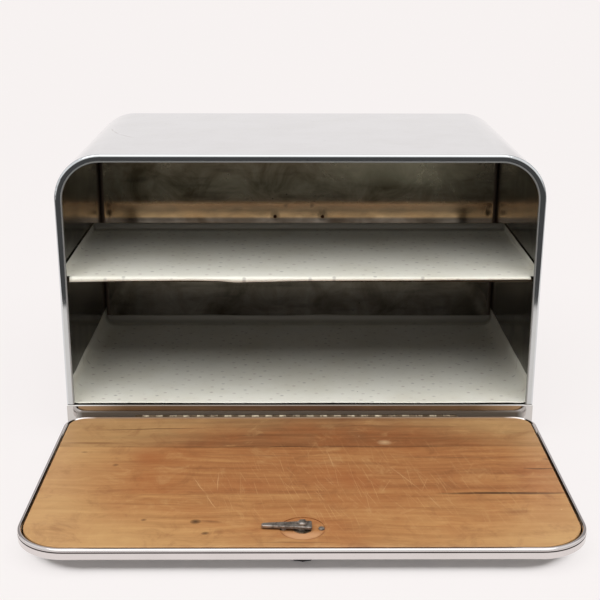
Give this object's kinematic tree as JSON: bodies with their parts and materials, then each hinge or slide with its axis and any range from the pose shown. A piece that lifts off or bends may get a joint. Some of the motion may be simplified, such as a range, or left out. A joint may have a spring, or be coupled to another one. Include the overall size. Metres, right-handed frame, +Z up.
{
  "type": "bread box",
  "caption": "Round-cornered chromed bread box with a drop-front door that carries a plank cutting board inside, a fixed inner shelf and a turn latch.",
  "frame": {"origin": "on the table, under the middle of the whole outline with the door open", "axes": "+Z up, +Y to the back of the box, +X to the right seen from the front; the open door points along -Y"},
  "size_m": [0.428, 0.4838, 0.2635],
  "materials": {
    "bright_chrome": "polished plating, lightly hazed",
    "tarnished_steel": "unpolished plating, darkened brown, half mirror",
    "rusted_steel": "rusted",
    "zinc_steel": "dull zinc plating",
    "nickel_steel": "worn nickel plating",
    "liner_paper": "coated shelf paper, faintly yellowed",
    "board_maple": "aged, oiled, knife-scratched",
    "board_maple_red": "aged, oiled, knife-scratched, redder plank",
    "cam_iron": "dark bronzed casting",
    "knob_black": "moulded black, glossy",
    "foot_rubber": "matt"
  },
  "bodies": {
    "cabinet": {"body_wrap": "bright_chrome", "back_panel": "tarnished_steel", "back_rivets": "rusted_steel", "floor_pan": "tarnished_steel", "front_apron": "bright_chrome", "shelf_pan": "tarnished_steel", "shelf_ledge_left": "tarnished_steel", "shelf_ledge_right": "tarnished_steel", "shelf_liner": "liner_paper", "floor_liner": "liner_paper", "foot_front_left": "foot_rubber", "foot_rear_left": "foot_rubber", "foot_front_right": "foot_rubber", "foot_rear_right": "foot_rubber", "foot_rivets": "zinc_steel", "hinge_body_leaf": "nickel_steel", "hinge_pin": "nickel_steel", "hinge_rivets": "nickel_steel"},
    "door": {"door_skin": "bright_chrome", "board_plank_hinge_side": "board_maple", "board_plank_middle": "board_maple_red", "board_plank_latch_side": "board_maple", "hinge_door_leaf": "nickel_steel", "hinge_nails": "zinc_steel", "latch_bush": "zinc_steel", "latch_escutcheon": "bright_chrome", "latch_screws": "zinc_steel"},
    "latch": {"latch_knob": "knob_black", "latch_spindle": "zinc_steel", "latch_cam": "cam_iron", "latch_nut": "cam_iron"}
  },
  "joints": [
    {"name": "door_hinge", "type": "hinge", "parent": "cabinet", "child": "door", "pos_m": [-0.0036, -0.0004, 0.0208], "axis": [-1, 0, 0], "range_deg": [0, 90]},
    {"name": "latch_turn", "type": "hinge", "parent": "door", "child": "latch", "pos_m": [0, -0.2108, 0.0226], "axis": [0, 0, 1], "range_deg": [0, 90]}
  ]
}
